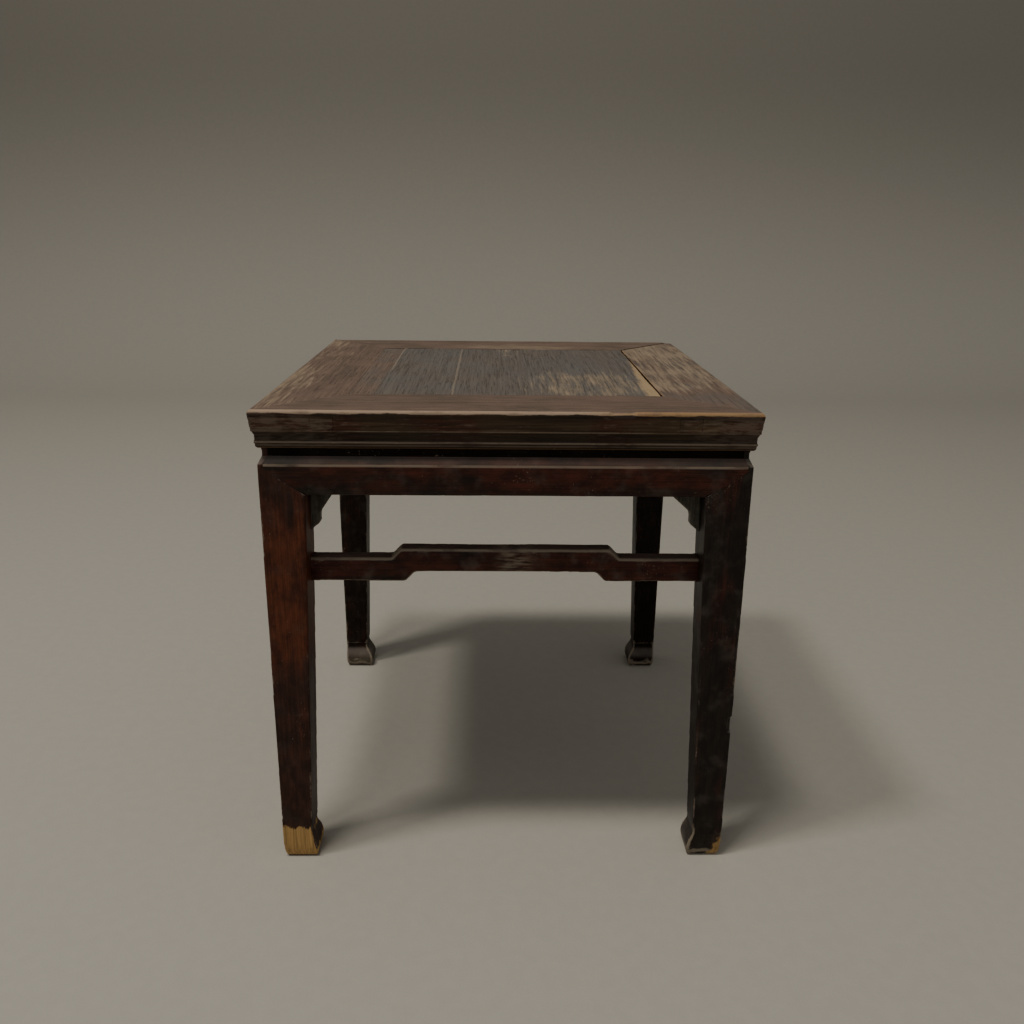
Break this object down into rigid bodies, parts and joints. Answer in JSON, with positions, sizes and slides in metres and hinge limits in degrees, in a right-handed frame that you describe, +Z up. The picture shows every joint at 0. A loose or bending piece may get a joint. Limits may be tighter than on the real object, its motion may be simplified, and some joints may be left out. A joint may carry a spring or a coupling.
{
  "type": "square side table",
  "caption": "Square waisted side table: framed board top, mitred aprons, corner brackets, humpback stretchers at front and back, tapered legs with inturned hoof feet.",
  "frame": {"origin": "on the floor, under the middle of the square top", "axes": "+Z up, -Y towards the front, which has a humpback stretcher as the back has, +X to the right"},
  "size_m": [0.5, 0.5, 0.518],
  "materials": {
    "top_lacquer": "thin brown lacquer, dusty and rubbed through along the edges",
    "body_lacquer": "dark red-brown lacquer, satin, worn on arrises and feet",
    "bare_wood": "bare planed wood, darkened with age"
  },
  "bodies": {
    "root": {"frame_front": "top_lacquer", "frame_right": "top_lacquer", "frame_back": "top_lacquer", "frame_left": "top_lacquer", "board_narrow": "top_lacquer", "board_middle": "top_lacquer", "board_wide": "top_lacquer", "waist_front": "body_lacquer", "waist_right": "body_lacquer", "waist_back": "body_lacquer", "waist_left": "body_lacquer", "apron_front": "body_lacquer", "apron_right": "body_lacquer", "apron_back": "body_lacquer", "apron_left": "body_lacquer", "bracket_front_left": "body_lacquer", "bracket_front_right": "body_lacquer", "bracket_right_front": "body_lacquer", "bracket_right_back": "body_lacquer", "bracket_back_right": "body_lacquer", "bracket_back_left": "body_lacquer", "bracket_left_back": "body_lacquer", "bracket_left_front": "body_lacquer", "leg_front_left": "body_lacquer", "leg_front_right": "body_lacquer", "leg_back_left": "body_lacquer", "leg_back_right": "body_lacquer", "stretcher_front": "body_lacquer", "stretcher_back": "body_lacquer", "batten_front": "bare_wood", "batten_back": "bare_wood", "bracket_pegs": "bare_wood"}
  },
  "joints": []
}
